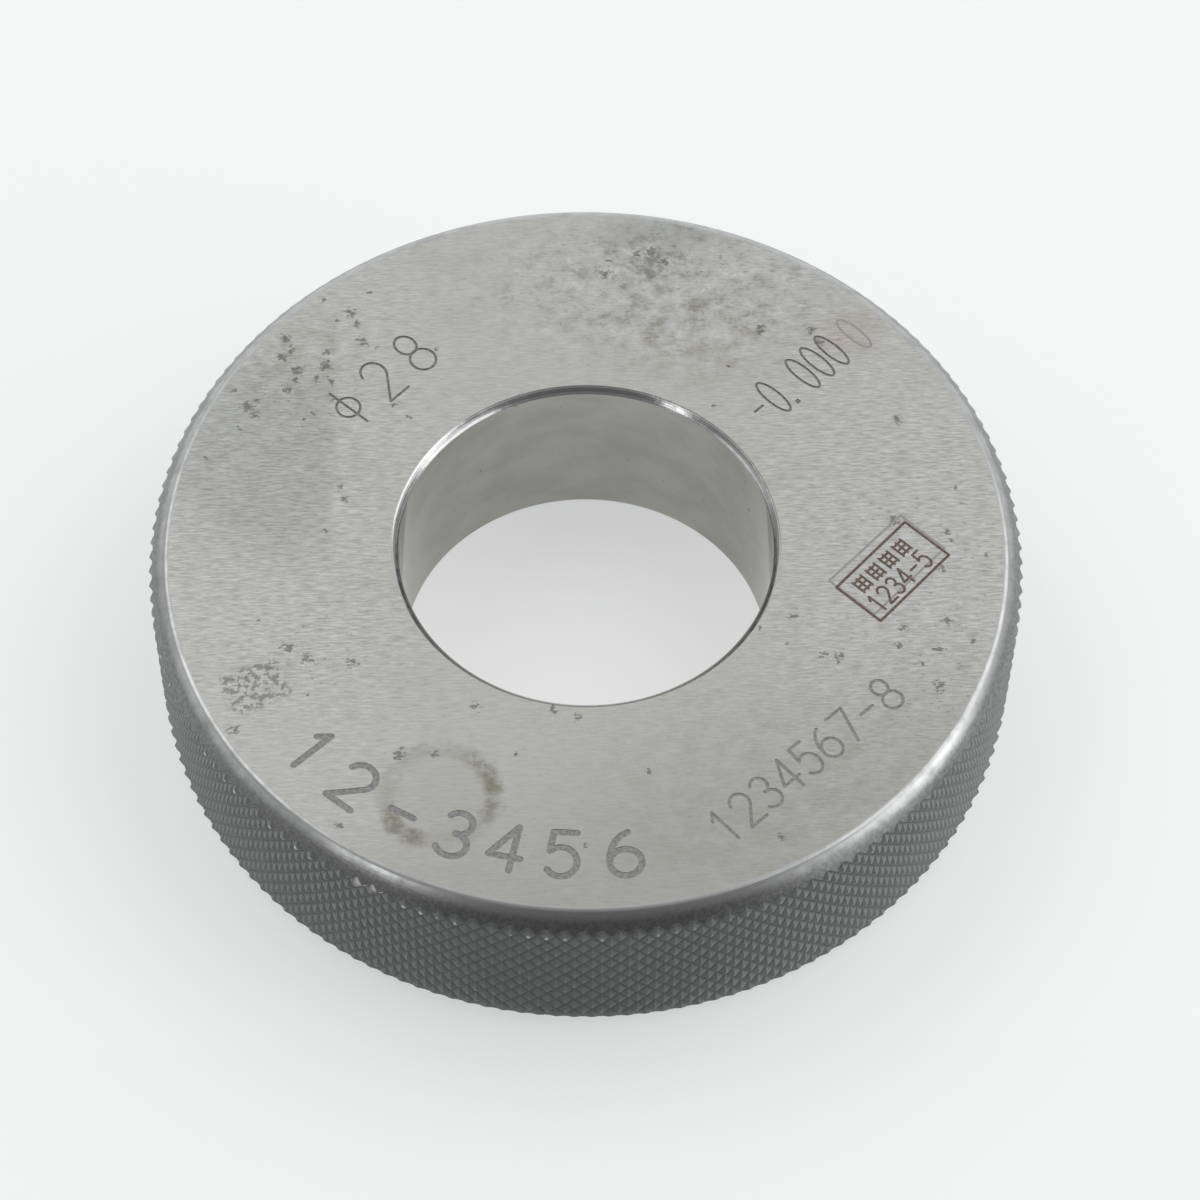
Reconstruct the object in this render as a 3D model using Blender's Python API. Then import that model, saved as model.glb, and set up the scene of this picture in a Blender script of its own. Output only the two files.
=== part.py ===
"""Setting ring gauge: one ring of hardened steel, turned, diamond-knurled round its rim and ground on its faces.

Metres, +Z up. The origin is on the bore's axis, in the plane of the lower face.
"""
from math import atan2, cos, pi, radians, sin, tan

import bmesh
import bpy

MM = 0.001

# Driving sizes of the ring
BORE_DIAMETER = 28.0 * MM
BLANK_DIAMETER = 65.0 * MM  # as turned, before the knurl is rolled into it
THICKNESS = 15.0 * MM
BORE_CHAMFER = 0.5 * MM  # at 45 degrees, at both ends of the bore
EDGE_CHAMFER = 1.35 * MM  # height of the chamfer between each face and the knurl
EDGE_CHAMFER_WIDTH = 1.25 * MM  # width of the same chamfer across the face
EDGE_ROUNDING = 0.5 * MM  # radius that eases the chamfer into the face

# Driving sizes of the diamond knurl
KNURL_RAISE = 0.125 * MM  # how far its points stand above the blank
KNURL_DEPTH = 0.4 * MM  # from the points down to the grooves
KNURL_POINTS_ROUND = 156
KNURL_ROWS = 16  # half-pitches between the two chamfers

# Fineness of the round surfaces
BORE_SEGMENTS = 72
KNURL_POINTS_PER_FACET = 2
EDGE_SEGMENTS = KNURL_POINTS_ROUND // KNURL_POINTS_PER_FACET
SHARP_ANGLE = radians(20)

# Radii that follow from the sizes above
BORE_RADIUS = BORE_DIAMETER / 2
BORE_CHAMFER_RADIUS = BORE_RADIUS + BORE_CHAMFER
BLANK_RADIUS = BLANK_DIAMETER / 2
POINT_RADIUS = BLANK_RADIUS + KNURL_RAISE
GROOVE_RADIUS = POINT_RADIUS - KNURL_DEPTH
FACE_CORNER_RADIUS = BLANK_RADIUS - EDGE_CHAMFER_WIDTH

# How much the radius changes with height: along the chamfer, and from a point of the knurl to a groove
CHAMFER_SPREAD = EDGE_CHAMFER_WIDTH / EDGE_CHAMFER
ROW_SPACING = (THICKNESS - 2 * EDGE_CHAMFER) / KNURL_ROWS
KNURL_SPREAD = KNURL_DEPTH / ROW_SPACING

# The rounding touches the face and the chamfer this far from their common corner, measured along each
CHAMFER_SLOPE = atan2(EDGE_CHAMFER, EDGE_CHAMFER_WIDTH)
ROUNDING_SETBACK = EDGE_ROUNDING * tan(CHAMFER_SLOPE / 2)
FACE_RADIUS = FACE_CORNER_RADIUS - ROUNDING_SETBACK
ROUNDED_RADIUS = FACE_CORNER_RADIUS + ROUNDING_SETBACK * cos(CHAMFER_SLOPE)
ROUNDED_DROP = ROUNDING_SETBACK * sin(CHAMFER_SLOPE)

# Colours and finishes
GROUND_STEEL = {"colour": (0.52, 0.52, 0.50), "metallic": 1.0, "roughness": 0.32}
KNURLED_STEEL = {"colour": (0.16, 0.165, 0.16), "metallic": 1.0, "roughness": 0.48}


def clear_scene():
    for thing in list(bpy.data.objects):
        bpy.data.objects.remove(thing, do_unlink=True)


def metal(name, finish):
    """A plain metal with the given colour, metallic value and roughness."""
    material = bpy.data.materials.new(name)
    material.use_nodes = True
    shader = material.node_tree.nodes["Principled BSDF"]
    shader.inputs["Base Color"].default_value = (*finish["colour"], 1.0)
    shader.inputs["Metallic"].default_value = finish["metallic"]
    shader.inputs["Roughness"].default_value = finish["roughness"]
    material.diffuse_color = (*finish["colour"], 1.0)
    return material


def add_ring(mesh, count, corner_at):
    """One ring of points round the axis; corner_at gives the radius and height of each."""
    ring = []
    for step in range(count):
        angle = 2 * pi * step / count
        radius, height = corner_at(step)
        ring.append(mesh.verts.new((radius * cos(angle), radius * sin(angle), height)))
    return ring


def plain_ring(mesh, count, height, radius):
    return add_ring(mesh, count, lambda step: (radius, height))


def join_rings(mesh, first, second):
    """Triangles between two rings round the axis, stepping on along whichever ring lags in angle."""
    first_step, second_step = 0, 0
    while first_step < len(first) or second_step < len(second):
        here = first[first_step % len(first)]
        opposite = second[second_step % len(second)]
        if (first_step + 0.5) * len(second) <= (second_step + 0.5) * len(first):
            first_step += 1
            following = first[first_step % len(first)]
        else:
            second_step += 1
            following = second[second_step % len(second)]
        mesh.faces.new((here, opposite, following))


def is_point(column, row):
    """Points and groove crossings take turns, as on a chessboard."""
    return (column + row) % 2 == 0


def run_out(radius):
    """Radius and depth under the face at which the chamfer cuts the knurl near a corner of this radius."""
    beyond_row = (radius - BLANK_RADIUS) / (KNURL_SPREAD + CHAMFER_SPREAD)
    return BLANK_RADIUS + beyond_row * CHAMFER_SPREAD, EDGE_CHAMFER + beyond_row


def knurl_corner(column, row):
    """Radius and height of one corner of the knurl; its lowest and highest row lie on the chamfers."""
    radius = POINT_RADIUS if is_point(column, row) else GROOVE_RADIUS
    height = EDGE_CHAMFER + row * ROW_SPACING
    if row == 0:
        radius, height = run_out(radius)
    elif row == KNURL_ROWS:
        radius, depth = run_out(radius)
        height = THICKNESS - depth
    return radius, height


def add_knurl(mesh):
    """Four-sided pyramids between crossed grooves. Returns the lowest and highest row of the grid."""
    columns = 2 * KNURL_POINTS_ROUND
    rows = []
    for row in range(KNURL_ROWS + 1):
        rows.append(add_ring(mesh, columns, lambda column, row=row: knurl_corner(column, row)))
    for row in range(KNURL_ROWS):
        for column in range(columns):
            add_knurl_cell(mesh, rows, column, row)
    return rows[0], rows[-1]


def add_knurl_cell(mesh, rows, column, row):
    """Two triangles that meet in the groove between the cell's two groove crossings."""
    lower, upper = rows[row], rows[row + 1]
    beside = (column + 1) % len(lower)
    low_left, low_right = lower[column], lower[beside]
    high_left, high_right = upper[column], upper[beside]
    if is_point(column, row):
        corners = ((low_left, low_right, high_left), (low_right, high_right, high_left))
    else:
        corners = ((low_left, low_right, high_right), (low_left, high_right, high_left))
    for corner in corners:
        face = mesh.faces.new(corner)
        face.material_index = 1


def add_end(mesh, knurl_row, face_height, inwards):
    """Chamfer, rounding, flat face and bore chamfer of one end. Returns the ring where the bore starts."""
    rounded = plain_ring(mesh, EDGE_SEGMENTS, face_height + inwards * ROUNDED_DROP, ROUNDED_RADIUS)
    face_edge = plain_ring(mesh, EDGE_SEGMENTS, face_height, FACE_RADIUS)
    face_hole = plain_ring(mesh, BORE_SEGMENTS, face_height, BORE_CHAMFER_RADIUS)
    bore_end = plain_ring(mesh, BORE_SEGMENTS, face_height + inwards * BORE_CHAMFER, BORE_RADIUS)
    join_rings(mesh, knurl_row, rounded)
    join_rings(mesh, rounded, face_edge)
    join_rings(mesh, face_edge, face_hole)
    join_rings(mesh, face_hole, bore_end)
    return bore_end


def gauge_ring():
    """The whole ring as one closed surface: knurl, both ends, and the bore between them."""
    mesh = bmesh.new()
    lowest_row, highest_row = add_knurl(mesh)
    lower_bore = add_end(mesh, lowest_row, 0.0, 1)
    upper_bore = add_end(mesh, highest_row, THICKNESS, -1)
    join_rings(mesh, lower_bore, upper_bore)
    bmesh.ops.recalc_face_normals(mesh, faces=mesh.faces)
    data = bpy.data.meshes.new("gauge_ring")
    mesh.to_mesh(data)
    mesh.free()
    data.materials.append(metal("ground_steel", GROUND_STEEL))
    data.materials.append(metal("knurled_steel", KNURLED_STEEL))
    data.shade_smooth()
    data.set_sharp_from_angle(angle=SHARP_ANGLE)
    ring = bpy.data.objects.new("gauge_ring", data)
    bpy.context.collection.objects.link(ring)
    return ring


clear_scene()
gauge_ring()
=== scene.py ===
"""Looks of a setting ring gauge.

Ground steel faces with engraved figures, a lapped bore and a dark diamond-knurled rim.
"""

from math import asin, atan2, ceil, cos, hypot, pi, radians, sin, sqrt
from random import Random

import bmesh
import bpy
from mathutils import Matrix, Vector
from mathutils.geometry import delaunay_2d_cdt


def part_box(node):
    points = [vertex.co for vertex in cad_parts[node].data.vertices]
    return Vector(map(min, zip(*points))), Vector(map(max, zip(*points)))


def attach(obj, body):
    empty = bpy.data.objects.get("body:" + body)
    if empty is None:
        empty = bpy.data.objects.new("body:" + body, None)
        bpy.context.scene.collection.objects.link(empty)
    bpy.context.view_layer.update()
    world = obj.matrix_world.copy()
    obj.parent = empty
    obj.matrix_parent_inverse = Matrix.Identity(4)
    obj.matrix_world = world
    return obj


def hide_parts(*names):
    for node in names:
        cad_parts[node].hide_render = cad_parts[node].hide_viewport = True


MM = 0.001

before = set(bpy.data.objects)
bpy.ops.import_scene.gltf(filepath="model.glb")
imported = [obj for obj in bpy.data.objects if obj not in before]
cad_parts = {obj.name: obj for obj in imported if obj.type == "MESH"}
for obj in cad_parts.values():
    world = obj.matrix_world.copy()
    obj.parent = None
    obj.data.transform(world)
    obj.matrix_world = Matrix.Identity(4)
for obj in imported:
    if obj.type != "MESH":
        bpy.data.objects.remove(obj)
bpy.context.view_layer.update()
ring_low, ring_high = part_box("gauge_ring")

# Sizes in millimetres, from the frame
THICKNESS = (ring_high.z - ring_low.z) / MM
POINT_RADIUS = (ring_high.x - ring_low.x) / 2 / MM

# Sizes in millimetres, as in the part's source
BORE_RADIUS = 14.0
BORE_CHAMFER = 0.5
EDGE_CHAMFER = 1.35
EDGE_CHAMFER_WIDTH = 1.25
KNURL_RAISE = 0.125
KNURL_DEPTH = 0.4
KNURL_POINTS_ROUND = 156
KNURL_ROWS = 16
GROOVE_RADIUS = POINT_RADIUS - KNURL_DEPTH
BLANK_RADIUS = POINT_RADIUS - KNURL_RAISE
FACE_CORNER_RADIUS = BLANK_RADIUS - EDGE_CHAMFER_WIDTH
KNURL_COLUMNS = 2 * KNURL_POINTS_ROUND
KNURL_ROW_HEIGHT = (THICKNESS - 2 * EDGE_CHAMFER) / KNURL_ROWS

# The fine form of the knurl: where the grid has its lines in each cell
KNURL_CELL_LINES = (0.0, 0.2, 0.8)

# Each point is blunted at a share of its height: the usual share, how widely it varies by chance, and the
# random number that stands for the usual share. Above it the point rises with only a part of its steepness.
KNURL_BLUNT = 0.9
KNURL_WEAR = 0.12
USUAL_CHANCE = 0.6
TIP_STEEPNESS = 0.1
WEAR_SEED = 5

# Rows of points beyond each end of the knurl, whose diamonds still reach into it
ROWS_BEYOND_ENDS = 2

# The edge between face and knurl: a slightly crowned chamfer, eased into the face
CHAMFER_CROWN = radians(8)
EDGE_ROUNDING = 0.5
CHAMFER_STEPS = 7
ROUNDING_STEPS = 6
CHAMFER_START = 0.9
FACE_BORDER = 0.06

# The depths between which the chamfer cuts the knurl, and how often the span between them is halved
CUT_HIGHEST = 0.7
CUT_LOWEST = EDGE_CHAMFER + 0.3
CUT_STEPS = 30

# The bore's chamfer is crowned too
BORE_CROWN = radians(7)
BORE_CHAMFER_STEPS = 8

SHARP_ANGLE = radians(15)
SAME_ANGLE = 1e-9
RING_SEGMENTS = KNURL_COLUMNS

# Slots of the ring's materials
FACE, UNDERSIDE, EDGE, BORE_EDGE, BORE, KNURL, ENGRAVED, STAMPED, LASER, GHOST = range(10)


# The knurl's surface

def knurl_share(column, row):
    """How high the sharp knurl stands at a place on its grid: 1 at a point, 0 in the grooves."""
    rising = abs((column + row) % 2 - 1)
    falling = abs((column - row) % 2 - 1)
    return min(rising, falling)


def knurl_point(column, row):
    """Column and row of the point whose diamond holds a place on the grid."""
    rising = round((column + row) / 2)
    falling = round((column - row) / 2)
    return (rising + falling) % KNURL_COLUMNS, rising - falling


def worn_points():
    """The share of its height at which each point of the knurl is blunted."""
    chance = Random(WEAR_SEED)
    heights = {}
    for row in range(-ROWS_BEYOND_ENDS, KNURL_ROWS + ROWS_BEYOND_ENDS + 1):
        for column in range(KNURL_COLUMNS):
            heights[column, row] = KNURL_BLUNT + KNURL_WEAR * (chance.random() - USUAL_CHANCE)
    return heights


POINT_HEIGHTS = worn_points()


def knurl_radius(column, row):
    blunt = POINT_HEIGHTS[knurl_point(column, row)]
    share = knurl_share(column, row)
    return GROOVE_RADIUS + KNURL_DEPTH * min(share, blunt + TIP_STEEPNESS * (share - blunt))


# The profile of the edge, as radius and depth under the face

def crown_circle():
    """Centre and radius of the arc that crowns the chamfer between its two corners."""
    slant = hypot(EDGE_CHAMFER, EDGE_CHAMFER_WIDTH)
    radius = slant / 2 / sin(CHAMFER_CROWN)
    inwards = radius * cos(CHAMFER_CROWN)
    x = (BLANK_RADIUS + FACE_CORNER_RADIUS) / 2 - inwards * EDGE_CHAMFER / slant
    depth = EDGE_CHAMFER / 2 + inwards * EDGE_CHAMFER_WIDTH / slant
    return x, depth, radius


CROWN_X, CROWN_DEPTH, CROWN_RADIUS = crown_circle()


def chamfer_radius(depth):
    """Radius of the crowned chamfer at a depth under the face."""
    return CROWN_X + sqrt(CROWN_RADIUS ** 2 - (CROWN_DEPTH - depth) ** 2)


def edge_profile():
    """Radius and depth of each ring, from just above the knurl up to the flat face."""
    reach = CROWN_RADIUS - EDGE_ROUNDING
    face_radius = CROWN_X + sqrt(reach ** 2 - (EDGE_ROUNDING - CROWN_DEPTH) ** 2)
    tangent = asin((face_radius - CROWN_X) / reach)
    start = asin((chamfer_radius(CHAMFER_START) - CROWN_X) / CROWN_RADIUS)
    profile = []
    for step in range(CHAMFER_STEPS):
        tilt = start + (tangent - start) * step / CHAMFER_STEPS
        profile.append((CROWN_X + CROWN_RADIUS * sin(tilt), CROWN_DEPTH - CROWN_RADIUS * cos(tilt)))
    for step in range(ROUNDING_STEPS + 1):
        tilt = tangent * (1 - step / ROUNDING_STEPS)
        profile.append((face_radius + EDGE_ROUNDING * sin(tilt), EDGE_ROUNDING * (1 - cos(tilt))))
    profile.append((face_radius - FACE_BORDER, 0.0))
    return profile


def bore_chamfer_profile():
    """Radius and depth of each ring from the face down to the bore, along a crowned chamfer."""
    slant = BORE_CHAMFER * sqrt(2)
    crown_radius = slant / 2 / sin(BORE_CROWN)
    profile = []
    for step in range(BORE_CHAMFER_STEPS + 1):
        share = step / BORE_CHAMFER_STEPS
        along = slant * (share - 0.5)
        rise = sqrt(crown_radius ** 2 - along ** 2) - crown_radius * cos(BORE_CROWN)
        inwards = rise / sqrt(2)
        profile.append((BORE_RADIUS + BORE_CHAMFER * (1 - share) - inwards, BORE_CHAMFER * share - inwards))
    return profile


# Rings of points, and the faces between them

def at_height(depth, upper):
    return THICKNESS - depth if upper else depth


def add_ring(mesh, places):
    """A ring of points, each given by its angle round the axis, its radius and its height in millimetres."""
    ring = []
    for angle, radius, height in places:
        corner = mesh.verts.new((radius * cos(angle) * MM, radius * sin(angle) * MM, height * MM))
        ring.append((angle, corner))
    return ring


def even_ring(mesh, radius, height):
    turns = [2 * pi * step / RING_SEGMENTS for step in range(RING_SEGMENTS)]
    return add_ring(mesh, [(turn, radius, height) for turn in turns])


def turn_at(ring, step):
    """The angle of a step round a ring, which goes on rising past a full turn."""
    return ring[step % len(ring)][0] + 2 * pi * (step // len(ring))


def join_rings(mesh, first, second, slot):
    """Triangles between two rings, stepping on along whichever ring lags in angle."""
    first_step, second_step = 0, 0
    while first_step < len(first) or second_step < len(second):
        first_middle = turn_at(first, first_step) + turn_at(first, first_step + 1)
        second_middle = turn_at(second, second_step) + turn_at(second, second_step + 1)
        here = first[first_step % len(first)][1]
        opposite = second[second_step % len(second)][1]
        if first_middle <= second_middle + SAME_ANGLE:
            first_step += 1
            following = first[first_step % len(first)][1]
        else:
            second_step += 1
            following = second[second_step % len(second)][1]
        mesh.faces.new((here, opposite, following)).material_index = slot


# The knurled band

def crossing_depth(column):
    """Depth under the face at which the knurl runs out into the chamfer, on one column."""
    high = CUT_HIGHEST
    low = CUT_LOWEST
    for _ in range(CUT_STEPS):
        middle = (high + low) / 2
        row = (THICKNESS - middle - EDGE_CHAMFER) / KNURL_ROW_HEIGHT
        if knurl_radius(column, row) > chamfer_radius(middle):
            high = middle
        else:
            low = middle
    return (high + low) / 2


def knurl_row(mesh, row, columns):
    height = EDGE_CHAMFER + row * KNURL_ROW_HEIGHT
    turn = 2 * pi / KNURL_COLUMNS
    return add_ring(mesh, [(column * turn, knurl_radius(column, row), height) for column in columns])


def knurl_end(mesh, columns, upper):
    """The zigzag line where the chamfer cuts the knurl."""
    places = []
    for column in columns:
        depth = crossing_depth(column)
        places.append((2 * pi * column / KNURL_COLUMNS, chamfer_radius(depth), at_height(depth, upper)))
    return add_ring(mesh, places)


def add_knurl(mesh):
    """The whole knurled band. Returns its lowest and highest ring."""
    columns = [cell + line for cell in range(KNURL_COLUMNS) for line in KNURL_CELL_LINES]
    levels = [cell + line for cell in range(KNURL_ROWS) for line in KNURL_CELL_LINES][1:]
    rows = [knurl_end(mesh, columns, upper=False)]
    rows += [knurl_row(mesh, level, columns) for level in levels]
    rows.append(knurl_end(mesh, columns, upper=True))
    lines = len(KNURL_CELL_LINES)
    for level in range(len(rows) - 1):
        for step in range(len(columns)):
            point_at_left = (step // lines + level // lines) % 2 == 0
            add_knurl_cell(mesh, rows[level], rows[level + 1], step, point_at_left)
    return rows[0], rows[-1]


def add_knurl_cell(mesh, lower, upper, step, falling):
    """Two triangles that meet along the direction of the groove through their cell."""
    beside = (step + 1) % len(lower)
    low_left, low_right = lower[step][1], lower[beside][1]
    high_left, high_right = upper[step][1], upper[beside][1]
    if falling:
        corners = ((low_left, low_right, high_left), (low_right, high_right, high_left))
    else:
        corners = ((low_left, low_right, high_right), (low_left, high_right, high_left))
    for corner in corners:
        mesh.faces.new(corner).material_index = KNURL


# Figures, as the middle lines of an engraver's strokes in a cell from (0, 0) to (1, 1)

# Degrees from one point of an arc to the next, and by how many each half of a loop reaches past its end
ARC_STEP = 18
LOOP_OVERLAP = 10

# Sides of half a round end, and how far a bend's outer corner may be drawn out, as a cosine
CAP_STEPS = 4
SHARPEST_BEND = 0.5


def arc(x, y, across, up, start, end):
    """Points along part of an oval round (x, y), between two angles in degrees."""
    steps = max(2, ceil(abs(end - start) / ARC_STEP))
    turns = [radians(start + (end - start) * step / steps) for step in range(steps + 1)]
    return [(x + across * cos(turn), y + up * sin(turn)) for turn in turns]


def loop(x, y, across, up):
    """A closed oval, as two halves that overlap."""
    left_half = arc(x, y, across, up, 90 - LOOP_OVERLAP, 270 + LOOP_OVERLAP)
    right_half = arc(x, y, across, up, 270 - LOOP_OVERLAP, 450 + LOOP_OVERLAP)
    return [left_half, right_half]


FIGURES = {
    "⌀": loop(0.5, 0.5, 0.46, 0.24) + [[(0.46, 1), (0.54, 0)]],
    "0": loop(0.5, 0.5, 0.5, 0.5),
    "1": [[(0.5, 0), (0.5, 1)], [(0.5, 1), (0.2, 0.78)]],
    "2": [arc(0.5, 0.72, 0.48, 0.28, 165, -38) + [(0, 0)], [(0, 0), (1, 0)]],
    "3": [arc(0.47, 0.755, 0.42, 0.245, 150, -90), arc(0.47, 0.265, 0.5, 0.265, 90, -150)],
    "4": [[(0.74, 0), (0.74, 1)], [(0.74, 1), (0, 0.3)], [(0, 0.3), (1, 0.3)]],
    "5": [[(0.92, 1), (0.2, 1)], [(0.2, 1), (0.12, 0.56)], arc(0.48, 0.33, 0.5, 0.33, 135, -145)],
    "6": loop(0.5, 0.3, 0.5, 0.3) + [arc(0.9, 0.3, 0.9, 0.7, 180, 105)],
    "7": [[(0, 1), (1, 1)], [(1, 1), (0.35, 0)]],
    "8": loop(0.5, 0.755, 0.4, 0.245) + loop(0.5, 0.265, 0.5, 0.265),
    "-": [[(0.1, 0.5), (0.9, 0.5)]],
    ".": [[(-0.1, 0.03), (0.1, 0.03)], [(-0.1, 0.08), (0.1, 0.08)]],
    "block": [[(0, 0), (0, 1)], [(0.5, 0), (0.5, 1)], [(1, 0), (1, 1)], [(0, 0.12), (1, 0.12)],
              [(0, 0.5), (1, 0.5)], [(0, 0.88), (1, 0.88)]],
}


def stroke_outline(path, width):
    """Outline of a stroke with round ends, anticlockwise, from the path of its middle."""
    ways = [(Vector(end) - Vector(start)).normalized() for start, end in zip(path, path[1:])]
    left, right = [], []
    for step, point in enumerate(path):
        before, after = ways[max(step - 1, 0)], ways[min(step, len(ways) - 1)]
        way = (before + after).normalized()
        reach = width / 2 / max(way.dot(before), SHARPEST_BEND)
        aside = Vector((-way.y, way.x)) * reach
        left.append(Vector(point) + aside)
        right.append(Vector(point) - aside)
    far_cap = half_round(path[-1], ways[-1], width)
    near_cap = half_round(path[0], -ways[0], width)
    return right + far_cap + left[::-1] + near_cap


def half_round(centre, way, width):
    """The points of a round end, without its two corners, from its right side to its left."""
    start = atan2(way.y, way.x) - pi / 2
    turns = [start + pi * step / CAP_STEPS for step in range(1, CAP_STEPS)]
    return [Vector(centre) + Vector((cos(turn), sin(turn))) * width / 2 for turn in turns]


def set_figure(sign, centre, direction, wide, high, stroke):
    """Outlines of one figure on the face, with its cell's middle at the centre, in millimetres."""
    along = Vector((cos(radians(direction)), sin(radians(direction))))
    up = Vector((-along.y, along.x))
    outlines = []
    for path in FIGURES[sign]:
        placed = [Vector(centre) + along * (x - 0.5) * wide + up * (y - 0.5) * high for x, y in path]
        outlines.append(stroke_outline(placed, stroke))
    return outlines


def straight_row(signs, first, direction, pitch, wide, high, stroke):
    """Figures in a straight row, from the middle of the first."""
    step = Vector((cos(radians(direction)), sin(radians(direction)))) * pitch
    outlines = []
    for place, sign in enumerate(signs):
        outlines += set_figure(sign, Vector(first) + step * place, direction, wide, high, stroke)
    return outlines


def round_row(signs, radius, turns, wide, high, stroke):
    """Figures stamped one by one round the axis, with their tops towards it."""
    outlines = []
    for sign, turn in zip(signs, turns):
        centre = (radius * cos(radians(turn)), radius * sin(radians(turn)))
        outlines += set_figure(sign, centre, turn + 90, wide, high, stroke)
    return outlines


def frame_lines(corners, stroke):
    """The four sides of a frame through its corners."""
    return [stroke_outline([corner, corners[step - 1]], stroke) for step, corner in enumerate(corners)]


# How deep the marks are cut, in millimetres; the faded ones lie flush in the face
ENGRAVED_DEPTH = 0.05
STAMPED_DEPTH = 0.03
LASER_DEPTH = 0.01
FLUSH = 0.0

# The direction of each row of figures in degrees, and its pitch, width, height and stroke in millimetres
SIZE_CUT = {"direction": 46, "pitch": 3.58, "wide": 1.95, "high": 3.9, "stroke": 0.2}
DEVIATION_CUT = {"direction": 43.5, "pitch": 1.6, "wide": 1.1, "high": 3.5, "stroke": 0.19}
NUMBER_CUT = {"direction": 42, "pitch": 2.03, "wide": 1.5, "high": 2.8, "stroke": 0.24}
LASER_FIGURE_CUT = {"direction": 47, "pitch": 1.05, "wide": 0.78, "high": 1.6, "stroke": 0.2}
LASER_BLOCK_CUT = {"direction": 46, "pitch": 1.48, "wide": 0.92, "high": 1.2, "stroke": 0.2}

# The figures stamped round the axis: the angle of each in degrees, listed one by one and not quite even
STAMP_CUT = {"wide": 2.3, "high": 3.6, "stroke": 0.5}
STAMP_RADIUS = 26.8
STAMP_TURNS = (222, 231, 240, 249, 257, 265.5, 275)

# Corners of the laser's frame, and of the faint one that was burnt beside it
LASER_FRAME = [(18.4, -4.3), (23.8, 1.5), (26.9, -1.5), (21.5, -7.3)]
GHOST_FRAME = [(17.9, -3.7), (23.5, 2.1), (26.6, -0.9), (21.1, -6.7)]


def marks():
    """What is marked on the upper face: outlines in millimetres, their depth and their material."""
    size_mark = straight_row("⌀28", (-17.9, 12.6), **SIZE_CUT)
    deviation = straight_row("-0.000", (13.3, 12.1), **DEVIATION_CUT)
    last_place = straight_row("0", (20.9, 19.2), **DEVIATION_CUT)
    number = straight_row("1234567-8", (9.5, -24.5), **NUMBER_CUT)
    stamps = round_row("12-3456", STAMP_RADIUS, STAMP_TURNS, **STAMP_CUT)
    laser = frame_lines(LASER_FRAME, stroke=0.22)
    laser += straight_row("1234-5", (21.33, -5.7), **LASER_FIGURE_CUT)
    laser += straight_row(["block"] * 4, (20.35, -4.0), **LASER_BLOCK_CUT)
    ghost = frame_lines(GHOST_FRAME, stroke=0.2)
    return [
        (size_mark, ENGRAVED_DEPTH, ENGRAVED),
        (deviation, ENGRAVED_DEPTH, ENGRAVED),
        (number, STAMPED_DEPTH, STAMPED),
        (stamps, STAMPED_DEPTH, STAMPED),
        (laser, LASER_DEPTH, LASER),
        (ghost, FLUSH, GHOST),
        (last_place, FLUSH, GHOST),
    ]


# The upper face with its marks

# The triangulation keeps what is inside the outlines, and joins points this close, in millimetres
KEEP_INSIDE = 1
JOIN_DISTANCE = 1e-4

# The bore's place among the outlines, which are counted from 0
BORE_AREA = 1


def face_plan(outer, inner):
    """The face cut into triangles along the outlines of the marks.

    Returns the points, the triangles with their depth and material, and which ring point each point is.
    """
    points = [Vector(corner.co.xy) / MM for _, corner in outer + inner]
    areas = [list(range(len(outer))), list(range(len(outer), len(points)))]
    kinds = [(0.0, FACE), None]
    for outlines, depth, slot in marks():
        for outline in outlines:
            areas.append(list(range(len(points), len(points) + len(outline))))
            points += outline
            kinds.append((depth, slot))
    plan = delaunay_2d_cdt(points, [], areas, KEEP_INSIDE, JOIN_DISTANCE)
    flat_points, triangles, from_points, from_areas = plan[0], plan[2], plan[3], plan[5]
    kept = []
    for triangle, covers in zip(triangles, from_areas):
        if BORE_AREA not in covers:
            kept.append((triangle, max(kinds[area] for area in covers)))
    return flat_points, kept, from_points


def add_marked_face(mesh, outer, inner):
    """The upper face between two rings, with the bottom and the walls of each mark."""
    flat_points, triangles, from_points = face_plan(outer, inner)
    ring_corners = [corner for _, corner in outer + inner]
    corners = {}

    def corner_at(point, depth):
        if (point, depth) not in corners:
            known = [number for number in from_points[point] if number < len(ring_corners)]
            if known and depth == 0:
                corners[point, depth] = ring_corners[known[0]]
            else:
                flat = flat_points[point]
                corners[point, depth] = mesh.verts.new((flat.x * MM, flat.y * MM, (THICKNESS - depth) * MM))
        return corners[point, depth]

    sides = {}
    for triangle, (depth, slot) in triangles:
        mesh.faces.new([corner_at(point, depth) for point in triangle]).material_index = slot
        for start, end in zip(triangle, triangle[1:] + triangle[:1]):
            sides[start, end] = (depth, slot)
    for (start, end), (depth, slot) in sides.items():
        higher = sides.get((end, start), (depth, slot))[0]
        if higher < depth:
            low_edge = (corner_at(end, depth), corner_at(start, depth))
            high_edge = (corner_at(start, higher), corner_at(end, higher))
            mesh.faces.new(low_edge + high_edge).material_index = slot


# The ring

def add_profile(mesh, profile, upper, start, slot):
    """Rings along a profile, each joined to the one before. Returns the last."""
    last = start
    for radius, depth in profile:
        ring = even_ring(mesh, radius, at_height(depth, upper))
        if last:
            join_rings(mesh, last, ring, slot)
        last = ring
    return last


def add_end(mesh, knurl_ring, upper):
    """Edge, face and bore chamfer of one end. Returns the ring where the bore starts."""
    outer = add_profile(mesh, edge_profile(), upper, knurl_ring, EDGE)
    inner_profile = bore_chamfer_profile()
    inner = add_profile(mesh, inner_profile[:1], upper, None, FACE)
    if upper:
        add_marked_face(mesh, outer, inner)
    else:
        join_rings(mesh, outer, inner, UNDERSIDE)
    return add_profile(mesh, inner_profile[1:], upper, inner, BORE_EDGE)


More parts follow.
